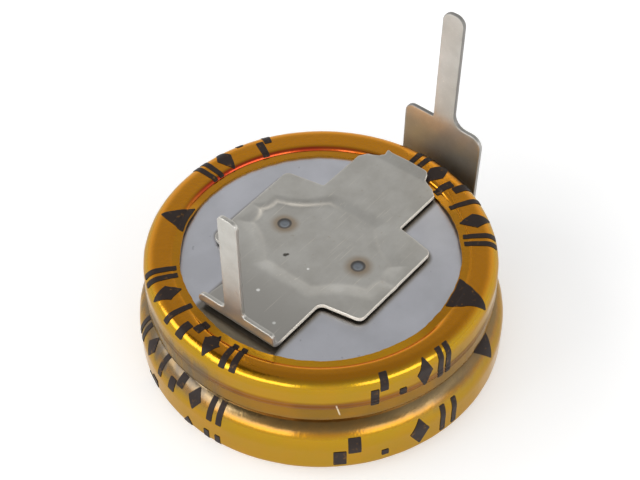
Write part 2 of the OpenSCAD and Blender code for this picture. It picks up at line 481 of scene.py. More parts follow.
@dataclass(frozen=True)
class FilmFinish:
    """Clear amber film shrunk on bright metal: tinted reflections under a glossy skin, with painted light in
    its colour: a reflection on the lip and a highlight on the crease at the front, a red sheen on the crease
    at the back, shade below the fold, in the waist recess and just under it, lighter on the recess's flanks
    beside the front, and shade darkening the greyish film on the left and right flanks.
    """

    name: str = "amber_shrink_film"
    length: float = 12.0
    # Painted reflection: the lip's colour at the front; lip_dull is its colour elsewhere.
    lip: Colour = linear(220, 160, 14)
    lip_dull: Colour = linear(198, 134, 6)
    # Painted highlight: the crease's colour at the front.
    crease: Colour = linear(236, 112, 6)
    # Painted red sheen: the crease's colour at the back.
    red_crease_sheen: Colour = linear(176, 52, 8)
    red_sheen_turn: float = math.radians(62.0)
    rim: Colour = linear(204, 133, 5)
    wall: Colour = linear(176, 136, 5)
    fold: Colour = linear(124, 74, 18)
    # Painted shade below the fold.
    shade_band: Colour = linear(138, 101, 13)
    # Painted shade in the waist recess, lighter on its flanks beside the front.
    groove_shade: Colour = linear(118, 94, 52)
    lit_groove_flank: Colour = linear(160, 134, 90)
    # Painted shade just under the waist recess, which dims the top of the lower highlight.
    under_groove_shade: Colour = linear(158, 109, 8)
    grazing: Colour = linear(232, 208, 164)
    # Greyish film on the left and right flanks, darkened as painted shade that dims their highlights.
    haze_and_shade: Colour = linear(96, 87, 76)
    haze_and_shade_turns: tuple[Point, ...] = ((math.radians(150.0), 1.0), (math.radians(284.0), 0.4))
    scratch: Colour = linear(250, 240, 214)
    scratch_at: Point = (0.6225, 0.327)
    scratch_slant: float = 0.045
    scratch_half: Point = (0.0003, 0.0009)
    scratch_reach: Point = (0.025, 0.04)
    roughness: float = 0.13
    relief: float = 0.01
    coat: float = 0.42
    coat_roughness: float = 0.08
    coat_ior: float = 1.5

    def material(self, marks: dict[str, float]) -> bpy.types.Material:
        """Builds the finish as a material.

        Args:
            marks: Lengths along the sleeve's profile, in millimetres, where its zones start.

        Returns:
            The material.
        """
        material, kit = new_material(self.name)
        around, along, _ = kit.parts(kit.out("ShaderNodeUVMap", uv_map="sleeve"))
        turn = around * (2 * math.pi)
        streak = kit.noise(kit.millimetres((1.6, 1.6, 0.25)), 1.0, 3.0)
        cloud = kit.noise(kit.millimetres(), 0.5, 3.0)
        wrinkle = kit.noise(kit.millimetres((6.0, 6.0, 0.6)), 1.0, 2.0)

        def at(name: str, shift: float) -> float:
            """Place on the map beside a named place on the profile."""
            return (marks[name] + shift) / self.length

        def within(*edges: tuple[str, float, float]) -> Any:
            """Mask between edges on the profile.

            Args:
                *edges: Named places, each with the shifts where its edge starts and ends.

            Returns:
                The mask.
            """
            mask: Any = 1.0
            for name, start, end in edges:
                mask = kit.span(along, at(name, start), at(name, end)) * mask
            return mask

        def toward(middle: float) -> Wire:
            """Cosine of the angle from a turn."""
            return kit.math("COSINE", turn - middle)

        def zones(lip: Colour, crease: Colour) -> Wire:
            """Colour along the profile.

            Args:
                lip: Colour of the lip.
                crease: Colour of the crease beside it.

            Returns:
                The colour.
            """
            # Painted shade below the fold, in the waist recess and just under it.
            return kit.ramp(along, [(at(name, shift), colour) for name, shift, colour in (
                ("lip", 0.0, lip), ("crease", -0.08, lip), ("crease", 0.02, crease), ("crease", 0.2, crease),
                ("crease", 0.3, self.rim), ("shoulder", 0.3, self.rim), ("shoulder", 0.6, self.wall),
                ("fold", -0.32, self.wall), ("fold", -0.1, self.fold), ("fold", 0.18, self.fold),
                ("fold", 0.32, self.shade_band), ("waist", -0.8, self.shade_band), ("waist", -0.4, self.groove_shade),
                ("lower", 0.55, self.groove_shade), ("lower", 0.78, self.under_groove_shade), ("lower", 1.04, self.wall),
            )])

        # facing is 1 towards the camera; it picks the painted lip reflection and crease highlight.
        facing = toward(RING_TURN)
        # Painted light: the waist recess is lighter on its flanks beside the front.
        pale = kit.span(facing, 0.985, 0.88) * kit.span(facing, 0.5, 0.75)
        # Greyish film on the left and right flanks, darkened as painted shade over their highlights.
        haze_and_shade: Any = 0.0
        for middle, strength in self.haze_and_shade_turns:
            haze_and_shade = kit.math("MAXIMUM", haze_and_shade, kit.span(toward(middle), 0.72, 0.92, 0.0, strength))
        haze_and_shade = haze_and_shade * kit.span(streak, 0.3, 0.7, 0.35, 0.95)
        haze_and_shade = haze_and_shade * within(("wall", -0.2, 0.7), ("lower", 1.5, 0.9))
        run = along - self.scratch_at[1]
        side = around - self.scratch_at[0] - run * self.scratch_slant
        scratch = kit.fade(abs(side), *self.scratch_half, 0.65) * kit.fade(abs(run), *self.scratch_reach)
        # Lip and crease: painted reflection and highlight at the front, painted red sheen on the crease at
        # the back.
        colour = kit.layered(zones(self.lip_dull, self.rim), (
            (kit.span(facing, 0.6, 0.92), zones(self.lip, self.crease)),
            (kit.span(toward(self.red_sheen_turn), 0.6, 0.85), zones(self.lip_dull, self.red_crease_sheen)),
            (kit.span(cloud, 0.35, 0.75, 0.0, 0.2), self.rim),
            (pale * within(("waist", -0.6, -0.3), ("lower", 0.6, 0.3)), self.lit_groove_flank),
            (haze_and_shade, self.haze_and_shade),
            (scratch, self.scratch),
        ))
        kit.surface({
            "Base Color": colour, "Metallic": 1.0, "Roughness": streak * 0.1 + self.roughness + haze_and_shade * 0.2,
            "Normal": kit.bump(streak + wrinkle * 0.6, self.relief), "Specular Tint": self.grazing,
            "Coat Weight": self.coat, "Coat Roughness": self.coat_roughness, "Coat IOR": self.coat_ior,
        })
        return material


@dataclass(frozen=True)
class InkFinish:
    """Dark printing ink, slightly worn."""

    name: str = "printing_ink"
    tint: Colour = linear(42, 32, 28)
    worn: Colour = linear(98, 68, 30)
    roughness: float = 0.4
    shine: float = 0.2

    def material(self) -> bpy.types.Material:
        """Builds the finish as a material.

        Returns:
            The material.
        """
        material, kit = new_material(self.name)
        wear = kit.noise(kit.millimetres(), 3.0, 4.0, 0.6)
        colour = kit.mix(kit.span(wear, 0.58, 0.72), self.tint, self.worn)
        rough = wear * 0.2 + self.roughness
        kit.surface({"Base Color": colour, "Roughness": rough, "Specular IOR Level": self.shine})
        return material


def link(name: str, mesh: bpy.types.Mesh, material: bpy.types.Material | None = None) -> bpy.types.Object:
    """Puts a mesh in the scene as an object at the origin.

    Args:
        name: The object's name.
        mesh: Its mesh.
        material: Its material, if it has one.

    Returns:
        The object.
    """
    piece = bpy.data.objects.new(name, mesh)
    if material is not None:
        mesh.materials.append(material)
    bpy.context.scene.collection.objects.link(piece)
    return piece


def close_mesh(name: str, points: np.ndarray, faces: list[Sequence[int]], sharp: float) -> bpy.types.Mesh:
    """Makes a closed, outward-facing, smooth-shaded mesh.

    Args:
        name: The mesh's name.
        points: Its points in millimetres.
        faces: Its faces as lists of point numbers.
        sharp: Angle in degrees above which an edge is shaded sharp.

    Returns:
        The mesh, in metres.
    """
    mesh = bpy.data.meshes.new(name)
    mesh.from_pydata((points * MM).tolist(), [], faces)
    made = bmesh.new()
    made.from_mesh(mesh)
    bmesh.ops.recalc_face_normals(made, faces=made.faces)
    made.to_mesh(mesh)
    made.free()
    mesh.polygons.foreach_set("use_smooth", [True] * len(mesh.polygons))
    mesh.set_sharp_from_angle(angle=math.radians(sharp))
    return mesh


def rounded(corners: Sequence[Corner], step: float, turns: int = 6) -> np.ndarray:
    """Counter-clockwise outline with rounded corners and evenly split edges.

    Args:
        corners: Corners as x, y and radius.
        step: Longest edge in the result.
        turns: Edges in each rounded corner.

    Returns:
        The outline's points.
    """
    count = len(corners)
    places = [Vector(corner[:2]) for corner in corners]
    loop: list[Vector] = []
    for index, corner in enumerate(corners):
        here = places[index]
        back = (places[index - 1] - here).normalized()
        ahead = (places[(index + 1) % count] - here).normalized()
        half = math.acos(max(-1.0, min(1.0, back.dot(ahead)))) / 2
        if corner[2] <= 0 or half > STRAIGHT:
            loop.append(here)
            continue
        centre = here + (back + ahead).normalized() * corner[2] / math.sin(half)
        reach = corner[2] / math.tan(half)
        start, end = here + back * reach - centre, here + ahead * reach - centre
        sweep = start.angle_signed(end)
        for part in range(turns + 1):
            loop.append(centre + Matrix.Rotation(-sweep * part / turns, 2) @ start)
    dense: list[Vector] = []
    for index, here in enumerate(loop):
        there = loop[(index + 1) % len(loop)]
        parts = max(1, math.ceil((there - here).length / step))
        dense.extend(here.lerp(there, part / parts) for part in range(parts))
    made = np.array([[p.x, p.y] for p in dense])
    ahead = np.roll(made, -1, 0)
    return made[::-1] if np.sum(made[:, 0] * ahead[:, 1] - ahead[:, 0] * made[:, 1]) < 0 else made


def inset(loop: np.ndarray, depth: float) -> np.ndarray:
    """Moves an outline inwards.

    Args:
        loop: The outline, counter-clockwise.
        depth: How far each point moves.

    Returns:
        The smaller outline.
    """
    ahead = np.roll(loop, -1, 0) - loop
    ahead /= np.linalg.norm(ahead, axis=1)[:, None]
    back = np.roll(ahead, 1, 0)
    normal = np.stack([-(ahead + back)[:, 1], (ahead + back)[:, 0]], 1)
    return loop + normal * depth / (1 + (ahead * back).sum(1))[:, None]


def inside(loop: np.ndarray, points: np.ndarray) -> np.ndarray:
    """Finds the points inside an outline.

    Args:
        loop: The outline.
        points: The points.

    Returns:
        For each point, whether it lies inside.
    """
    found = np.zeros(len(points), bool)
    for start, end in zip(loop, np.roll(loop, -1, 0)):
        spans = (start[1] > points[:, 1]) != (end[1] > points[:, 1])
        slope = (end[0] - start[0]) / (end[1] - start[1] if end[1] != start[1] else TINY)
        found ^= spans & (points[:, 0] < start[0] + slope * (points[:, 1] - start[1]))
    return found


def filled(loop: np.ndarray, step: float) -> tuple[np.ndarray, list[list[int]]]:
    """Outline filled with evenly sized triangles.

    Args:
        loop: The outline, counter-clockwise. Its points come first in the result.
        step: Distance between the points inside.

    Returns:
        The points and the triangles.
    """
    low, high = loop.min(0), loop.max(0)
    columns, rows = np.arange(low[0], high[0], step), np.arange(low[1], high[1], step)
    grid = np.stack(np.meshgrid(columns, rows, indexing="ij"), -1)
    grid[:, 1::2, 0] += step / 2
    grid = grid.reshape(-1, 2)
    grid = grid[inside(loop, grid)]
    if len(grid):
        gap = np.min(np.linalg.norm(grid[:, None, :] - loop[None, :, :], axis=2), axis=1)
        grid = grid[gap > step * EDGE_CLEARANCE]
    points = np.concatenate([loop, grid])
    edges = [(index, (index + 1) % len(loop)) for index in range(len(loop))]
    made = geometry.delaunay_2d_cdt([Vector(p) for p in points], edges, [], 1, MERGE_GAP)
    first = [sources[0] for sources in made[3]]
    return points, [[first[index] for index in face] for face in made[2]]


def plate_faces(
    triangles: list[list[int]], count: int, edge: int, rings: int, start: int = 0,
) -> list[list[int]]:
    """Faces of a closed plate: its two sides and the bands around its edge.

    Args:
        triangles: Faces of the upper side.
        count: Points of each side, of which those at the edge come first.
        edge: Points at the edge.
        rings: Loops of edge points between the sides; they come after the sides.
        start: Number of the first point.

    Returns:
        The faces.
    """
    faces = [[start + i for i in face] for face in triangles]
    faces += [[start + count + i for i in reversed(face)] for face in triangles]
    bands = [start + first for first in [0] + [2 * count + edge * k for k in range(rings)] + [count]]
    for upper, lower in zip(bands, bands[1:]):
        for i in range(edge):
            j = (i + 1) % edge
            faces.append([upper + i, lower + i, lower + j, upper + j])
    return faces


def arc_points(centre: Point, radius: float, turns: Sequence[float]) -> list[Point]:
    """Points of an arc at the given turns in degrees."""
    return [(centre[0] + radius * math.cos(a), centre[1] + radius * math.sin(a)) for a in np.radians(turns)]


def section_at(section: np.ndarray, turn: float) -> np.ndarray:
    """Points of a half section, given as radius and height, at a turn about the axis."""
    return np.stack([section[:, 0] * math.cos(turn), section[:, 0] * math.sin(turn), section[:, 1]], 1)


def sweep_faces(around: int, size: int, path: Sequence[int]) -> list[Sequence[int]]:
    """Faces between neighbouring half sections round the axis.

    Args:
        around: Number of sections.
        size: Points in each.
        path: Numbers of the points that the faces follow in a section.

    Returns:
        The faces.
    """
    faces: list[Sequence[int]] = []
    for index in range(around):
        here, there = index * size, (index + 1) % around * size
        faces += [(here + a, here + b, there + b, there + a) for a, b in zip(path, path[1:])]
    return faces


@dataclass
class FilmSleeve:
    """The shrunk film over both cells, with its lip, creases and waist."""

    opening_r: float = 7.7
    lid_r: float = 8.45
    lid_z: float = 6.7
    film: float = 0.12
    crimp: float = 0.32
    top_z: float = 7.02
    upper_r: float = 9.8
    upper_shoulder: float = 0.77
    upper_foot: float = 0.6
    upper_foot_z: float = 4.28
    waist_r: float = 9.5
    lower_r: float = 10.42
    lower_shoulder: float = 1.67
    lower_top_z: float = 3.87
    lower_foot: float = 0.42
    base_z: float = 0.53
    crease_z: float = 5.32
    lip_share: float = 0.85
    lip_left: Point = (140.0, 30.0)
    lip_right: Point = (300.0, 34.0)
    lip_soft: float = 9.0
    lip_waves: tuple[Point, ...] = ((0.07, 4.0), (0.03, 13.0), (0.03, 34.0))
    sway_paces: Point = (2.6, 9.0)
    sway_start: Corner = (3.0, 1.0, 4.0)
    fold_sway: float = 0.05
    fold_beads: tuple[Corner, ...] = ((0.035, -0.11, 0.06), (0.04, 0.12, 0.07))
    wall_ripple: float = 0.012
    waist_bead: Corner = (0.03, 0.1, 0.5)
    around: int = 360

    def profile(self) -> tuple[np.ndarray, dict[str, float]]:
        """Outside of the film from its upper lip to its lower one.

        Returns:
            Points as radius and height, and the lengths along them where the named zones start.
        """
        points: list[Point] = []
        starts: dict[str, int] = {}

        def line(name: str, start: Point, end: Point, count: int) -> None:
            """Adds a straight run without its end."""
            starts[name] = len(points)
            points.extend(map(tuple, np.linspace(start, end, count, endpoint=False)))

        def arc(name: str, centre: Point, radius: float, first: float, last: float, count: int) -> None:
            """Adds an arc between two angles in degrees, without its end."""
            starts[name] = len(points)
            points.extend(arc_points(centre, radius, np.linspace(first, last, count, endpoint=False)))

        lip_z = self.lid_z + self.film
        rise = 180 - math.degrees(math.asin(self.film / self.crimp))
        lip_end = self.lid_r + self.crimp * math.cos(math.radians(rise))
        line("lip", (self.opening_r, lip_z), (lip_end, lip_z), 7)
        arc("crease", (self.lid_r, self.lid_z), self.crimp, rise, 90, 8)
        shoulder_r = self.upper_r - self.upper_shoulder
        line("top", (self.lid_r, self.top_z), (shoulder_r, self.top_z), 5)
        wall_z = self.top_z - self.upper_shoulder
        arc("shoulder", (shoulder_r, wall_z), self.upper_shoulder, 90, 0, 14)
        line("wall", (self.upper_r, wall_z), (self.upper_r, self.upper_foot_z), 26)
        foot_r = self.upper_r - self.upper_foot
        drop = math.degrees(math.acos((self.waist_r - foot_r) / self.upper_foot))
        arc("foot", (foot_r, self.upper_foot_z), self.upper_foot, 0, -drop, 9)
        low_r, low_z = self.lower_r - self.lower_shoulder, self.lower_top_z - self.lower_shoulder
        lift = math.degrees(math.acos((self.waist_r - low_r) / self.lower_shoulder))
        waist_top = self.upper_foot_z - self.upper_foot * math.sin(math.radians(drop))
        waist_low = low_z + self.lower_shoulder * math.sin(math.radians(lift))
        line("waist", (self.waist_r, waist_top), (self.waist_r, waist_low), 3)
        arc("lower", (low_r, low_z), self.lower_shoulder, lift, 0, 16)
        bend_r, bend_z = self.lower_r - self.lower_foot, self.base_z + self.lower_foot
        line("lower_wall", (self.lower_r, low_z), (self.lower_r, bend_z), 10)
        arc("lower_foot", (bend_r, bend_z), self.lower_foot, 0, -90, 7)
        line("under", (bend_r, self.base_z), (self.opening_r, self.base_z), 7)
        points.append((self.opening_r, self.base_z))
        made = np.array(points)
        lengths = run_lengths(made)
        marks = {name: float(lengths[index]) for name, index in starts.items()}
        marks["fold"] = marks["wall"] + wall_z - self.crease_z
        marks["end"] = float(lengths[-1])
        return made, marks

    @staticmethod
    def normals(profile: np.ndarray) -> np.ndarray:
        """Outward directions along a profile.

        Args:
            profile: Points as radius and height.

        Returns:
            One direction of length 1 for each point.
        """
        along = np.gradient(profile, axis=0)
        along /= np.linalg.norm(along, axis=1)[:, None]
        return np.stack([-along[:, 1], along[:, 0]], 1)

    def lip_rise(self, turn: Any, lengths: np.ndarray) -> np.ndarray:
        """How far the film's lip stands off the lid, which it does at its left and right.

        Args:
            turn: Turns of the places.
            lengths: Lengths along the profile.

        Returns:
            Heights in millimetres.
        """
        profile, marks = self.profile()
        level = np.interp(lengths, run_lengths(profile), profile[:, 1])
        below = np.where(lengths < marks["top"], self.top_z - level, 0.0)
        share = 0.0
        for middle, half in (self.lip_left, self.lip_right):
            far, near = (math.cos(math.radians(half + soft)) for soft in (self.lip_soft, -self.lip_soft))
            share = share + smooth(np.cos(turn - math.radians(middle)), far, near)
        return self.lip_share * share * below

    def lip_wave(self, turn: float, lengths: np.ndarray, marks: dict[str, float]) -> np.ndarray:
        """How far the film's uneven edge moves its lip outwards.

        Args:
            turn: The places' turn.
            lengths: Lengths along the profile.
            marks: Where the zones start.

        Returns:
            Distances in millimetres.
        """
        spot = Vector((math.cos(turn), math.sin(turn), 0.0))
        wave = sum(high * noise.noise(spot * pace) for high, pace in self.lip_waves)
        return wave * (1 - smooth(lengths, 0.0, marks["crease"]))

    def sway(self, turn: float) -> Point:
        """Slow and quick waviness of the film at a turn, between -1 and 1.

        Args:
            turn: The turn.

        Returns:
            The two values.
        """
        spot = Vector((math.cos(turn), math.sin(turn), 0.0))
        slow, quick = self.sway_paces
        return noise.noise(spot * slow), noise.noise(spot * quick + Vector(self.sway_start))

    def ripple(self, slow: Any, quick: Any, lengths: np.ndarray, marks: dict[str, float]) -> np.ndarray:
        """How far the film stands off its even shape.

        Args:
            slow: Slow waviness at the places' turns.
            quick: Quick waviness at the places' turns.
            lengths: Lengths along the profile.
            marks: Where the zones start.

        Returns:
            Offsets along the outward direction, in millimetres.
        """
        fold = marks["fold"] + self.fold_sway * slow
        made = self.wall_ripple * quick * smooth(lengths, marks["shoulder"], marks["wall"])
        for high, shift, width in self.fold_beads:
            made = made + high * hump(lengths, fold + shift, width)
        high, shift, width = self.waist_bead
        return made + high * hump(lengths, marks["waist"] + shift, width) * (slow + 0.6 * quick)

    def build(self) -> bpy.types.Mesh:
        """Builds the film as a closed shell with a map of turn and length.

        Returns:
            The mesh.
        """
        profile, marks = self.profile()
        normal = self.normals(profile)
        lengths = run_lengths(profile)
        ring = 1 - smooth(lengths, marks["top"], marks["shoulder"])
        count = len(profile)
        sheets = []
        for turn in np.linspace(0, 2 * math.pi, self.around, endpoint=False):
            outer = profile + normal * self.ripple(*self.sway(turn), lengths, marks)[:, None]
            section = np.concatenate([outer, profile - normal * self.film])
            section[:, 0] += np.tile(self.lip_wave(turn, lengths, marks) + ring * ring_offset(turn), 2)
            section[:, 1] += np.tile(self.lip_rise(turn, lengths), 2)
            sheets.append(section_at(section, turn))
        path = [*range(count), *range(2 * count - 1, count - 1, -1), 0]
        faces = sweep_faces(self.around, 2 * count, path)
        mesh = close_mesh("film_sleeve", np.concatenate(sheets), faces, sharp=50.0)
        chart = mesh.uv_layers.new(name="sleeve")
        corners = np.zeros(len(mesh.loops), np.int32)
        mesh.loops.foreach_get("vertex_index", corners)
        section, place = corners // (2 * count), corners % count
        faces_of = np.repeat(np.arange(len(mesh.polygons)), 4)
        wraps = np.zeros(len(mesh.polygons), bool)
        np.logical_or.at(wraps, faces_of, section == self.around - 1)
        turn = np.where((section == 0) & wraps[faces_of], 1.0, section / self.around)
        uvs = np.stack([turn, lengths[place] / FilmFinish.length], 1)
        chart.data.foreach_set("uv", uvs.astype(np.float32).ravel())
        return mesh

    def make(self) -> bpy.types.Object:
        """Builds and dresses the sleeve in place of its CAD node.

        Returns:
            The piece.
        """
        piece = link("film_sleeve", self.build(), FilmFinish().material(self.profile()[1]))
        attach(piece, BODY)
        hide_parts("sleeve")
        return piece


@dataclass(frozen=True)
class PrintGroup:
    """A run of plain marks on the sleeve, between two turns in degrees and two lengths along the profile."""

    marks: tuple[Mark, ...]
    turn: Point
    rows: Point


@dataclass
class FilmPrint:
    """Dark print on the film: plain marks wrapped on the sleeve by a node tree."""

    sleeve: FilmSleeve
    lift: float = 0.03
    sink: float = 0.05
    step: float = 0.12
    stroke: float = 0.34
    soft: float = 0.05
    fill: float = 0.74
    margin: float = 0.13

    def shapes(self, mark: Mark, width: float, height: float) -> list[list[Corner]]:
        """Outlines of one mark in a box of the given size.

        Args:
            mark: Which mark.
            width: Width of the box in millimetres.
            height: Height of the box in millimetres.

        Returns:
            Outlines as lists of corners.
        """
        bar, soft = self.stroke, self.soft

        def box(left: float, low: float, right: float, high: float) -> list[Corner]:
            """A rectangle with soft corners."""
            return [(left, low, soft), (right, low, soft), (right, high, soft), (left, high, soft)]

        if mark is Mark.BAR:
            return [box(width * 0.35, 0, width * 0.35 + bar, height)]
        if mark is Mark.PAIR:
            return [box(left, 0, left + bar, height) for left in (width * 0.05, width * 0.6)]
        if mark is Mark.STEP:
            lower = box(width * 0.52, 0, width * 0.98, height * 0.55)
            return [box(0, height * 0.45, width * 0.46, height), lower]
        if mark is Mark.DIAMOND:
            middle, reach = width / 2, min(width / 2, height * 0.3)
            return [[(middle, 0, soft), (middle + reach, height / 2, soft), (middle, height, soft),
                     (middle - reach, height / 2, soft)]]
        if mark is Mark.DOT:
            return [box(width / 2 - 0.2, height * 0.7, width / 2 + 0.2, height * 0.7 + 0.4)]
        return [[(0, 0, soft), (width, 0, soft), (width / 2, height, soft)]]

    def flat(self, groups: Sequence[PrintGroup]) -> bpy.types.Mesh:
        """Lays the marks out flat: x is the turn, y the length along the profile, z the height.

        Args:
            groups: The runs of marks.

        Returns:
            One mesh of thin closed plates.
        """
        profile, marks = self.sleeve.profile()
        lengths = run_lengths(profile)
        points: list[np.ndarray] = []
        faces: list[list[int]] = []
        shifts: list[np.ndarray] = []
        for group in groups:
            first, last = (math.radians(turn) for turn in group.turn)
            low, high = group.rows
            radius = float(np.interp((low + high) / 2, lengths, profile[:, 0]))
            cell = (last - first) * radius / len(group.marks)
            shapes = [self.shapes(mark, cell * self.fill, high - low) for mark in group.marks]
            for index, corners in ((i, corners) for i, shape in enumerate(shapes) for corners in shape):
                loop = rounded(corners, self.step, 3)
                spots, triangles = filled(loop, self.step)
                turn = first + (spots[:, 0] + cell * (index + self.margin)) / radius
                rows = low + spots[:, 1]
                slow, quick = np.array([self.sleeve.sway(value) for value in turn]).T
                swell = self.sleeve.ripple(slow, quick, rows, marks)
                wave = [float(self.sleeve.lip_wave(*spot, marks)) for spot in zip(turn, rows)]
                shift = np.stack([wave, np.zeros(len(spots)), self.sleeve.lip_rise(turn, rows)], 1) * MM
                faces += plate_faces(triangles, len(spots), len(loop), 0, sum(map(len, points)))
                for height in (self.lift, -self.sink):
                    points.append(np.stack([turn, rows * MM, (swell + height) * MM], 1))
                    shifts.append(shift)
        mesh = bpy.data.meshes.new("flat_marks")
        mesh.from_pydata(np.concatenate(points).tolist(), [], faces)
        shift = mesh.attributes.new("lip_shift", "FLOAT_VECTOR", "POINT")
        shift.data.foreach_set("vector", np.concatenate(shifts).astype(np.float32).ravel())
        return mesh

    def guide(self) -> bpy.types.Object:
        """Makes the sleeve's profile a curve that the marks follow.

        Returns:
            The curve's object.
        """
        profile = self.sleeve.profile()[0]
        curve = bpy.data.curves.new("profile_guide", "CURVE")
        curve.dimensions = "3D"
        spline = curve.splines.new("POLY")
        spline.points.add(len(profile) - 1)
        for point, (radius, height) in zip(spline.points, profile):
            point.co = (radius * MM, 0.0, height * MM, 1.0)
        guide = bpy.data.objects.new("profile_guide", curve)
        bpy.context.scene.collection.objects.link(guide)
        return guide

    @staticmethod
    def wrap_tree() -> bpy.types.NodeTree:
        """Node tree that bends flat marks on the sleeve and repeats them round it.

        Returns:
            The tree.
        """
        tree = bpy.data.node_groups.new("wrap_marks", "GeometryNodeTree")
        sockets = {"Marks": "Geometry", "Profile": "Object", "Repeats": "Int", "Ink": "Material"}
        sockets |= {f"Ring {name}": "Float" for name in ("Shift", "Turn", "Start", "End")}
        for name, kind in sockets.items():
            tree.interface.new_socket(name, in_out="INPUT", socket_type="NodeSocket" + kind)
        tree.interface.new_socket("Geometry", in_out="OUTPUT", socket_type="NodeSocketGeometry")
        kit = NodeKit(tree)
        given = kit.add("NodeGroupInput").outputs
        turn, length, height = kit.parts(kit.out("GeometryNodeInputPosition"))
        guide = kit.out("GeometryNodeObjectInfo", {"Object": given["Profile"]}, "Geometry")
        follow = {"Curves": guide, "Length": length}
        sample = kit.add("GeometryNodeSampleCurve", follow, mode="LENGTH", use_all_curves=True).outputs
        ahead = kit.parts(sample["Tangent"])
        outward = kit.out("ShaderNodeCombineXYZ", {0: ahead[2] * -1.0, 2: ahead[0]})
        lift = kit.out("ShaderNodeVectorMath", {0: outward, "Scale": height}, operation="SCALE")
        swing = kit.math("COSINE", turn - given["Ring Turn"])
        aside = swing * kit.fade(length, given["Ring Start"], given["Ring End"]) * given["Ring Shift"]
        lip = kit.out("GeometryNodeInputNamedAttribute", {"Name": "lip_shift"}, data_type="FLOAT_VECTOR")
        offset = kit.vector("ADD", kit.out("ShaderNodeCombineXYZ", {0: aside}), lip)
        place = kit.vector("ADD", kit.vector("ADD", sample["Position"], lift), offset)
        bent = kit.out("ShaderNodeVectorRotate", {"Vector": place, "Angle": turn}, rotation_type="Z_AXIS")
        wrapped = kit.out("GeometryNodeSetPosition", {"Geometry": given["Marks"], "Position": bent})
        share = kit.math("DIVIDE", 2 * math.pi, given["Repeats"])
        spin = kit.out("ShaderNodeCombineXYZ", {2: kit.out("GeometryNodeInputIndex") * share})
        seats = kit.out("GeometryNodePoints", {"Count": given["Repeats"]})
        seated = {"Points": seats, "Instance": wrapped, "Rotation": spin}
        real = kit.out("GeometryNodeRealizeInstances", {0: kit.out("GeometryNodeInstanceOnPoints", seated)})
        inked = kit.out("GeometryNodeSetMaterial", {"Geometry": real, "Material": given["Ink"]})
        kit.add("NodeGroupOutput", {"Geometry": inked})
        return tree

    def make(self, name: str, groups: Sequence[PrintGroup], repeats: int) -> bpy.types.Object:
        """Builds one band of print.

        Args:
            name: The piece's name.
            groups: Its runs of marks.
            repeats: How often they come in one turn.

        Returns:
            The piece.
        """
        tree, guide, ink = self.wrap_tree(), self.guide(), InkFinish().material()
        source = link(name + "_flat", self.flat(groups))
        wrap = source.modifiers.new("wrap", "NODES")
        wrap.node_group = tree
        zones = self.sleeve.profile()[1]
        values = {
            "Profile": guide, "Repeats": repeats, "Ink": ink, "Ring Shift": RING_SHIFT * MM,
            "Ring Turn": RING_TURN, "Ring Start": zones["top"] * MM, "Ring End": zones["shoulder"] * MM,
        }
        for item in tree.interface.items_tree:
            if item.item_type == "SOCKET" and item.in_out == "INPUT" and item.name in values:
                wrap[item.identifier] = values[item.name]
        bpy.context.view_layer.update()
        graph = bpy.context.evaluated_depsgraph_get()
        mesh = bpy.data.meshes.new_from_object(source.evaluated_get(graph), depsgraph=graph)
        source.modifiers.remove(wrap)
        for helper in (source, guide):
            bpy.data.objects.remove(helper)
        mesh.name = name
        mesh.attributes.remove(mesh.attributes["lip_shift"])
        piece = link(name, mesh)
        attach(piece, BODY)
        return piece


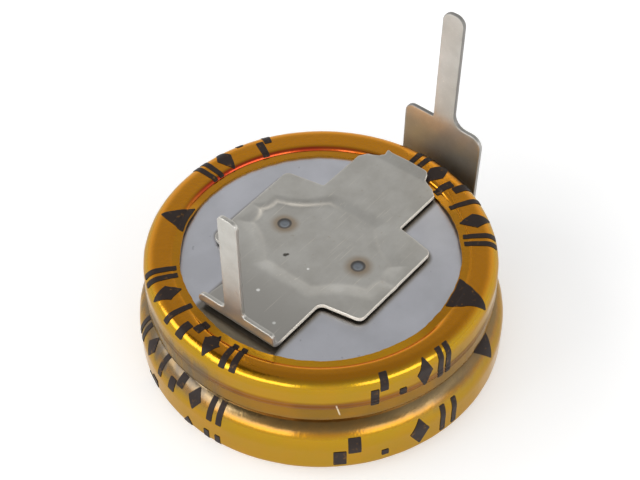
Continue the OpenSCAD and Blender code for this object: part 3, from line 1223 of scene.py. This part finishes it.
@dataclass
class FoldedTerminal:
    """One terminal: a cross-shaped sheet with a pressed pocket, a fold and an upright with a flat pin."""

    name: str
    node: str
    base_z: float
    face_x: float
    top: Point
    tip: float
    pin_w: float
    tip_r: float
    root_r: tuple[float, float]
    corner_r: tuple[float, float]
    cut: tuple[Corner, ...]
    arm_edges: Point = (-2.73, 2.73)
    near_side: tuple[Corner, ...] = ()
    pin_y: float = 0.0
    tab_lift: float = 0.0
    matt_from: float = 99.0
    lean: float = 0.0
    turn: float = 0.0
    over: bool = False
    sheet_t: float = 0.25
    bend_r: float = 0.25
    arm_w: float = 5.46
    lobe_span: float = 10.3
    lobe_l: float = 6.2
    lobe_root_l: float = 7.1
    lobe_shift: float = 0.1
    tab_x: float = 7.5
    tab_l: float = 0.75
    blank_r: float = 0.4
    sharp_r: float = 0.12
    pocket_l: float = 5.4
    pocket_end_w: float = 3.1
    pocket_span: float = 7.9
    pocket_lobe_l: float = 2.0
    pocket_root_l: float = 5.0
    pocket_depth: float = 0.15
    pocket_slope: float = 0.35
    pocket_round: float = 0.15
    pocket_blend: float = 0.3
    soft_slope: float = 0.45
    sharp_along: Point = (-1.6, 0.0)
    sharp_across: Point = (0.5, 3.0)
    # Painted highlight along the pocket's rim: its distance outside the pocket's outline, its width and its
    # least share.
    rim_highlight_at: float = 0.12
    rim_highlight_w: float = 0.1
    rim_highlight_least: float = 0.12
    weld_pitch: float = 5.2
    weld_dip: float = 0.05
    weld_r: Point = (0.2, 0.32)
    weld_beads: tuple[Corner, ...] = ((0.02, 0.37, 0.06), (0.025, 0.0, 0.12))
    # Bright cut edges: bare metal with painted highlight, kept off the upright and dimmed on the sheet's left
    # side.
    bright_end: Point = (-0.4, 0.1)
    bright_side: Point = (0.8, 2.0)
    bright_loss: float = 0.85
    grey: float = 0.7
    grey_end: Point = (1.0, 2.0)
    grey_side: Point = (0.9, 1.6)
    grey_loss: float = 0.35
    edge_r: float = 0.05
    edge_turns: int = 3
    edge_share: float = 0.8
    step: float = 0.11

    def bend(self) -> tuple[float, float, float]:
        """Start of the fold, its middle radius and its length along the sheet."""
        radius = self.bend_r + self.sheet_t / 2
        return self.face_x - self.bend_r - self.sheet_t, radius, radius * math.pi / 2

    def outline(self) -> np.ndarray:
        """Outline of the unfolded sheet.

        Returns:
            Points as places along the sheet, towards the pin, and across it.
        """
        start, _, length = self.bend()
        rise = self.bend_r + self.sheet_t
        half, sway = self.arm_w / 2, math.tan(math.radians(self.lean))

        def stand(height: float, across: float, radius: float) -> Corner:
            """Corner of the upright at a height above the sheet's underside."""
            return start + length + height - rise, across + (height - rise) * sway, radius

        near, far = self.lobe_shift - self.lobe_root_l / 2, self.lobe_shift + self.lobe_root_l / 2
        ends = self.lobe_shift - self.lobe_l / 2, self.lobe_shift + self.lobe_l / 2
        reach = self.lobe_span / 2
        first = ((near, half, self.blank_r), (ends[0], reach, self.blank_r))
        last = ((ends[1], reach, self.blank_r), (far, half, self.sharp_r))
        right, left = self.arm_edges
        side = [(-x, y, radius) for x, y, radius in (self.near_side or first) + last]
        end = [(-x, y, radius) for x, y, radius in self.cut]
        other = [(-x, -y, radius) for x, y, radius in reversed(first + last)]
        low, high = self.top
        pin = self.pin_y - self.pin_w / 2, self.pin_y + self.pin_w / 2
        upright = [
            stand(rise, right, 0.0), stand(low, right, self.corner_r[0]), stand(low, pin[0], self.root_r[0]),
            stand(self.tip, pin[0], self.tip_r), stand(self.tip, pin[1], self.tip_r),
            stand(high, pin[1], self.root_r[1]), stand(high, left, self.corner_r[1]),
        ]
        return rounded([stand(rise, left, 0.0)] + side + end + other + upright, self.step * self.edge_share)

    def pocket_gap(self, along: np.ndarray, across: np.ndarray) -> np.ndarray:
        """Distance to the outline of the pressed pocket, negative inside it.

        Args:
            along: Places along the sheet.
            across: Places across it.

        Returns:
            The distance at each place.
        """
        x, y = np.abs(along), np.abs(across)
        ends = (self.pocket_l + self.pocket_end_w) / 2
        arms = np.maximum(x - self.pocket_l / 2, (x + y - ends) / math.sqrt(2))
        run = (self.pocket_root_l - self.pocket_lobe_l) / self.pocket_span
        flanks = (x + run * y - self.pocket_root_l / 2) / math.hypot(1, run)
        lobes = np.maximum(y - self.pocket_span / 2, flanks)
        share = np.clip(0.5 + (lobes - arms) / (2 * self.pocket_blend), 0, 1)
        return lobes + (arms - lobes) * share - self.pocket_blend * share * (1 - share)

    def sharp_press(self, along: np.ndarray, across: np.ndarray) -> np.ndarray:
        """Where the pocket's edge is pressed sharply: 1 at the far left lobe, 0 elsewhere."""
        return smooth(across, *self.sharp_across) * smooth(-along, *self.sharp_along)

    def pocket(self, along: np.ndarray, across: np.ndarray) -> np.ndarray:
        """Depth of the pressed pocket at each place."""
        wide = self.pocket_slope + self.pocket_round + self.soft_slope * (1 - self.sharp_press(along, across))
        return self.pocket_depth * (1 - smooth(self.pocket_gap(along, across), -self.pocket_round, wide))

    def crater(self, along: np.ndarray, across: np.ndarray) -> np.ndarray:
        """Height of the weld marks on the face of the sheet.

        Args:
            along: Places along the sheet.
            across: Places across it.

        Returns:
            The height at each place, negative in the dip.
        """
        away = np.hypot(along, np.abs(across) - self.weld_pitch / 2)
        beads = sum(high * hump(away, middle, width) for high, middle, width in self.weld_beads)
        return beads - self.weld_dip * (1 - smooth(away, *self.weld_r))

    def edge_wear_and_sheen(self, along: np.ndarray, across: np.ndarray) -> np.ndarray:
        """How the cut edge looks: bright bare metal, partly painted highlight, kept off the upright and
        dimmed on the sheet's left side.

        Args:
            along: Places along the sheet.
            across: Places across it.

        Returns:
            Positive shares where the edge is bright, negative ones where it is grey.
        """
        start = self.bend()[0]
        least, most = self.bright_end
        wear = 1 - smooth(along, start + least, start + most)
        wear = wear * (1 - self.bright_loss * smooth(across, *self.bright_side))
        if self.over:
            least, most = self.grey_end
            grey = smooth(along, start + least, start + most)
            wear = wear - grey * (self.grey - self.grey_loss * smooth(across, *self.grey_side))
        return wear

    def fold(self, along: np.ndarray, across: np.ndarray, height: np.ndarray) -> np.ndarray:
        """Places of the unfolded sheet's points on the folded terminal.

        Args:
            along: Places along the sheet, towards the pin.
            across: Places across it.
            height: Heights above the middle of the sheet, positive on the welded face.

        Returns:
            Points in millimetres in the part's frame.
        """
        start, radius, length = self.bend()
        side = -1.0 if self.over else 1.0
        turned = np.clip((along - start) / length, 0, 1) * math.pi / 2
        flat = np.minimum(along, start) + radius * np.sin(turned)
        rise = radius * (1 - np.cos(turned)) + np.maximum(along - start - length, 0)
        small = 0.01
        down = self.pocket(along, across)
        tilt_x = (self.pocket(along + small, across) - down) / small
        tilt_y = (self.pocket(along, across + small) - down) / small
        length_n = np.sqrt(1 + tilt_x ** 2 + tilt_y ** 2)
        height = height + np.where(height > 0, self.crater(along, across), 0.0)
        x = -flat + side * height * np.sin(turned) - height * tilt_x / length_n
        y = across + height * tilt_y / length_n
        lift = self.tab_lift * np.clip((-along - self.tab_x) / self.tab_l, 0, 1)
        level = self.base_z + self.sheet_t / 2 + rise + lift
        z = level + side * (height * np.cos(turned) / length_n - down)
        spin = math.radians(self.turn)
        cos, sin = math.cos(spin), math.sin(spin)
        return np.stack([x * cos - y * sin, x * sin + y * cos, z], 1)

    def build(self) -> bpy.types.Mesh:
        """Builds the folded sheet as a closed mesh with rounded cut edges.

        Returns:
            The mesh.
        """
        outline = self.outline()
        half, turns = self.sheet_t / 2, self.edge_turns
        loop = inset(outline, self.edge_r)
        spots, triangles = filled(loop, self.step)
        count, edge = len(spots), len(loop)
        layers = [np.column_stack([spots, np.full(count, side)]) for side in (half, -half)]
        angles = [math.pi / 2 * part / turns for part in range(1, turns + 1)]
        for sign, order in ((1, angles), (-1, angles[::-1])):
            for angle in order:
                ring = inset(outline, self.edge_r * (1 - math.sin(angle)))
                level = sign * (half - self.edge_r * (1 - math.cos(angle)))
                layers.append(np.column_stack([ring, np.full(edge, level)]))
        along, across, height = np.concatenate(layers).T
        faces = plate_faces(triangles, count, edge, 2 * turns)
        mesh = close_mesh(self.name, self.fold(along, across, height), faces, sharp=60.0)
        wear = self.edge_wear_and_sheen(along, across)
        wear[:2 * count] = 0.0
        # Painted highlight along the pocket's rim on the upper face, strongest where the edge is pressed
        # sharply.
        line = hump(self.pocket_gap(along, across), self.rim_highlight_at, self.rim_highlight_w) * (height > 0)
        line *= self.rim_highlight_least + (1 - self.rim_highlight_least) * self.sharp_press(along, across)
        for name, values in (("cut_edge", wear), ("pocket_rim_highlight", line)):
            kept = mesh.attributes.new(name, "FLOAT", "POINT")
            kept.data.foreach_set("value", values.astype(np.float32))
        return mesh

    def welds(self) -> tuple[Corner, ...]:
        """Centres of the two welds on the terminal's face."""
        places = np.zeros(2), np.array([-0.5, 0.5]) * self.weld_pitch, np.full(2, self.sheet_t / 2)
        return tuple(tuple(map(float, centre)) for centre in self.fold(*places))

    def make(self, specks: tuple[Speck, ...] = ()) -> bpy.types.Object:
        """Builds and dresses the terminal in place of its CAD node.

        Args:
            specks: Small spots on its face.

        Returns:
            The piece.
        """
        finish = SheetFinish(self.name + "_metal", self.welds(), specks, self.matt_from)
        piece = link(self.name, self.build(), finish.material())
        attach(piece, BODY)
        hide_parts(self.node)
        return piece


@dataclass
class SealedCells:
    """The two sealed cells: the upper can with its lid and crimped ring, and the lower one as it comes."""

    lid_r: float = 8.25
    lid_z: float = 6.7
    crimp: float = 0.2
    wall_r: float = 9.68
    shoulder: float = 0.65
    foot: float = 0.8
    foot_z: float = 3.8
    base_r: float = 7.4
    base_z: float = 3.55
    lid_rings: tuple[float, ...] = (2.0, 5.0, 7.4)
    around: int = 240

    def section(self) -> tuple[np.ndarray, np.ndarray]:
        """Half section of the upper can from the middle of its lid to the middle of its base.

        Returns:
            Points as radius and height, and how far each follows the ring's offset.
        """
        points: list[Point] = [(radius, self.lid_z) for radius in self.lid_rings]

        def arc(centre: Point, radius: float, first: float, last: float) -> None:
            """Adds an arc between two angles in degrees."""
            points.extend(arc_points(centre, radius, np.linspace(first, last, 10)))

        arc((self.lid_r + self.crimp, self.lid_z), self.crimp, 180, 90)
        ring = len(points)
        top = self.lid_z + self.crimp
        arc((self.wall_r - self.shoulder, top - self.shoulder), self.shoulder, 90, 0)
        arc((self.wall_r - self.foot, self.foot_z + self.foot), self.foot, 0, -90)
        points += [(self.base_r, self.foot_z), (self.base_r, self.base_z)]
        follows = np.zeros(len(points))
        follows[len(self.lid_rings):ring] = 1.0
        return np.array(points), follows

    def upper(self) -> bpy.types.Mesh:
        """Builds the upper can as a closed mesh.

        Returns:
            The mesh.
        """
        section, follows = self.section()
        count = len(section)
        rows = []
        for turn in np.linspace(0, 2 * math.pi, self.around, endpoint=False):
            shift = np.stack([follows * ring_offset(turn), np.zeros(count)], 1)
            rows.append(section_at(section + shift, turn))
        points = np.concatenate(rows + [np.array([[0, 0, self.lid_z], [0, 0, self.base_z]])])
        top, low = len(points) - 2, len(points) - 1
        faces = sweep_faces(self.around, count, range(count))
        for index in range(self.around):
            here, there = index * count, (index + 1) % self.around * count
            faces += [(top, here, there), (low, there + count - 1, here + count - 1)]
        return close_mesh("upper_can", points, faces, sharp=30.0)

    def make(self) -> list[bpy.types.Object]:
        """Gives both cells their metal, the upper one in place of its CAD node.

        Returns:
            The two pieces.
        """
        metal = CellFinish().material()
        upper = link("upper_can", self.upper(), metal)
        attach(upper, BODY)
        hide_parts("upper_cell")
        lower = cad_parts["lower_cell"]
        lower.data.materials.clear()
        lower.data.materials.append(metal)
        return [upper, lower]


@dataclass(frozen=True)
class SoftBox:
    """A soft patch of light in the dome: its middle, half its size and edge in degrees, and its strength."""

    turn: float
    height: float
    half_turn: float
    half_height: float
    strength: float
    edge: float = 7.0

    def aim(self) -> Corner:
        """Level direction towards the patch."""
        return math.cos(math.radians(self.turn)), math.sin(math.radians(self.turn)), 0.0


@dataclass(frozen=True)
class Studio:
    """Pale floor, soft dome of light and the camera."""

    focal: float = 1300.0
    width: float = 640.0
    height: float = 480.0
    elevation: float = 46.226
    roll: float = 0.532
    yaw: float = 50.59
    axis_pixel: Point = (320.74, 243.64)
    axis_z: float = 7.02
    distance: float = 71.47
    sensor: float = 36.0
    clip: Point = (0.001, 20.0)
    floor_size: float = 3.0
    floor_gap: float = 0.02
    floor_tint: Colour = (0.86, 0.86, 0.86, 1.0)
    floor_glow: float = 0.34
    white: Colour = (1.0, 1.0, 1.0, 1.0)
    horizon: float = 1.05
    top: float = 0.37
    top_from: Point = (0.2, 0.95)
    boxes: tuple[SoftBox, ...] = (
        SoftBox(182.0, 21.0, 20.0, 6.0, 3.0), SoftBox(262.0, 19.0, 20.0, 6.0, 2.6),
        SoftBox(138.0, 32.0, 24.0, 9.0, 3.0, 5.0), SoftBox(140.0, 58.0, 34.0, 8.0, -0.3, 6.0),
    )

    def camera(self) -> bpy.types.Object:
        """Places the camera at the photograph's viewing angle.

        Returns:
            The camera.
        """
        tilt, roll = math.radians(self.elevation), math.radians(self.roll)
        ahead = Vector((0.0, math.cos(tilt), -math.sin(tilt)))
        level = Vector((1.0, 0.0, 0.0))
        below = ahead.cross(level)
        right = level * math.cos(roll) + below * math.sin(roll)
        down = below * math.cos(roll) - level * math.sin(roll)
        off_x = (self.axis_pixel[0] - self.width / 2) / self.focal * self.distance
        off_y = (self.axis_pixel[1] - self.height / 2) / self.focal * self.distance
        back = Matrix.Rotation(-math.radians(self.yaw), 3, "Z")
        offset = right * off_x + down * off_y + ahead * self.distance
        place = back @ -offset + Vector((0, 0, self.axis_z))
        axes = Matrix([back @ right, back @ -down, back @ -ahead]).transposed()
        data = bpy.data.cameras.new("photo_camera")
        data.sensor_width = self.sensor
        data.lens = self.focal / self.width * self.sensor
        data.clip_start, data.clip_end = self.clip
        camera = bpy.data.objects.new("photo_camera", data)
        camera.matrix_world = Matrix.Translation(place * MM) @ axes.to_4x4()
        bpy.context.scene.collection.objects.link(camera)
        bpy.context.scene.camera = camera
        return camera

    def floor(self) -> bpy.types.Object:
        """Lays a pale floor that keeps the shadow.

        Returns:
            The floor.
        """
        half = self.floor_size / 2
        mesh = bpy.data.meshes.new("floor")
        corners = [(-half, -half, 0), (half, -half, 0), (half, half, 0), (-half, half, 0)]
        mesh.from_pydata(corners, [], [(0, 1, 2, 3)])
        material, kit = new_material("pale_floor")
        path = kit.add("ShaderNodeLightPath").outputs
        seen = kit.math("MAXIMUM", path["Is Glossy Ray"], path["Is Transmission Ray"])
        seen = kit.math("MAXIMUM", path["Is Camera Ray"], seen)
        matt = kit.out("ShaderNodeBsdfDiffuse", {"Color": self.floor_tint})
        glow = kit.out("ShaderNodeEmission", {"Strength": seen * self.floor_glow})
        kit.add("ShaderNodeOutputMaterial", {"Surface": kit.out("ShaderNodeAddShader", {0: matt, 1: glow})})
        floor = link("floor", mesh, material)
        floor.location.z = -self.floor_gap * MM
        return floor

    def dome(self) -> None:
        """Lights the scene from a dome with soft boxes and a dimmer top."""
        world = bpy.data.worlds.new("soft_dome")
        world.use_nodes = True
        bpy.context.scene.world = world
        kit = NodeKit(world.node_tree)
        parts = kit.parts(kit.out("ShaderNodeTexCoord", output="Generated"))
        height = kit.math("DEGREES", kit.math("ARCSINE", parts[2]))
        level = kit.vector("NORMALIZE", kit.out("ShaderNodeCombineXYZ", {0: parts[0], 1: parts[1]}))
        light = kit.span(parts[2], *self.top_from, self.horizon, self.top)
        for box in self.boxes:
            facing = kit.vector("DOT_PRODUCT", level, box.aim(), output="Value")
            aside = kit.math("DEGREES", kit.math("ARCCOSINE", facing))
            patch = kit.fade(aside, box.half_turn, box.half_turn + box.edge, box.strength)
            above = abs(height - box.height)
            light = light + patch * kit.fade(above, box.half_height, box.half_height + box.edge)
        shade = kit.out("ShaderNodeBackground", {"Color": self.white, "Strength": light})
        kit.add("ShaderNodeOutputWorld", {"Surface": shade})

    def make(self) -> None:
        """Sets up camera, floor and light."""
        self.camera()
        self.floor()
        self.dome()
        bpy.context.scene.view_settings.view_transform = "Standard"


WORD = (Mark.PAIR, Mark.DIAMOND, Mark.BAR, Mark.STEP, Mark.DIAMOND, Mark.PAIR)
RATING = (Mark.STEP, Mark.DOT, Mark.DIAMOND, Mark.PAIR)
ARROW = (Mark.WEDGE,)

UPPER_PRINT = (
    PrintGroup(WORD, (139.0, 194.0), (0.2, 2.25)),
    PrintGroup(WORD, (306.0, 363.0), (0.2, 2.2)),
    PrintGroup(RATING, (57.0, 91.0), (0.5, 2.2)),
    PrintGroup(RATING, (233.0, 263.5), (1.75, 3.9)),
    PrintGroup(ARROW, (104.0, 124.5), (0.06, 1.7)),
    PrintGroup(ARROW, (271.5, 292.5), (0.06, 2.4)),
)
LOWER_PRINT = (
    PrintGroup(WORD, (140.0, 190.0), (5.4, 6.9)),
    PrintGroup(RATING, (221.0, 266.0), (6.3, 8.3)),
    PrintGroup(ARROW, (275.0, 291.0), (5.2, 6.7)),
    PrintGroup(RATING, (150.0, 190.0), (7.9, 9.0)),
)


TORN_END: tuple[Corner, ...] = (
    (6.88, 2.73, 0.2), (7.36, 2.42, 0.2), (7.63, 1.78, 0.12), (7.86, 1.52, 0.1), (8.22, 1.56, 0.08),
    (8.15, 1.2, 0.3), (8.19, 0.1, 0.5), (8.14, -1.26, 0.1), (7.95, -1.46, 0.1), (7.6, -1.58, 0.1),
    (7.27, -2.3, 0.1), (6.9, -2.73, 0.12),
)
CLEAN_END: tuple[Corner, ...] = (
    (6.85, 2.73, 0.1), (7.5, 1.5, 0.1), (8.25, 1.5, 0.12),
    (8.25, -1.5, 0.12), (7.5, -1.5, 0.1), (6.85, -2.73, 0.1),
)
DARK_SPECK = linear(70, 66, 60)
PALE_SPECK = linear(226, 226, 222)
SPECKS = (
    Speck((-1.82, 1.03, 7.0), 0.17, DARK_SPECK), Speck((-1.7, 0.95, 7.0), 0.13, DARK_SPECK),
    Speck((-4.78, 0.41, 7.1), 0.13, PALE_SPECK, False), Speck((-5.99, -1.73, 7.1), 0.12, PALE_SPECK, False),
    Speck((-1.84, -0.61, 6.97), 0.1, PALE_SPECK, False),
)


def main() -> None:
    """Builds every sub-assembly in order and reports its pieces."""
    logging.basicConfig(level=logging.INFO, format="%(message)s")
    Studio().make()
    sleeve = FilmSleeve()
    ink = FilmPrint(sleeve)
    upper = FoldedTerminal(
        name="short_pin_terminal", node="upper_terminal", base_z=6.85, face_x=7.3, top=(1.1, 1.0),
        tip=7.8, pin_w=1.22, tip_r=0.36, root_r=(0.25, 0.3), corner_r=(0.25, 0.45), cut=TORN_END,
        arm_edges=(-2.77, 2.36), near_side=((-4.15, 2.1, 0.4), (-3.3, 5.0, 0.5)), pin_y=-0.12,
        tab_lift=0.22,
    )
    lower = FoldedTerminal(
        name="long_pin_terminal", node="lower_terminal", base_z=0.0, face_x=10.85, top=(9.02, 9.02),
        tip=16.62, pin_w=1.42, tip_r=0.6, root_r=(0.12, 0.8), corner_r=(0.65, 0.75), cut=CLEAN_END,
        matt_from=8.8, lean=1.3, turn=178.0, over=True,
    )
    pieces = SealedCells().make()
    pieces.append(sleeve.make())
    pieces.append(ink.make("upper_print", UPPER_PRINT, 1))
    pieces.append(ink.make("lower_print", LOWER_PRINT, 2))
    pieces.append(upper.make(SPECKS))
    pieces.append(lower.make())
    for piece in pieces:
        LOG.info("%s: %d points, %d faces", piece.name, len(piece.data.vertices), len(piece.data.polygons))


if __name__ == "__main__":
    main()
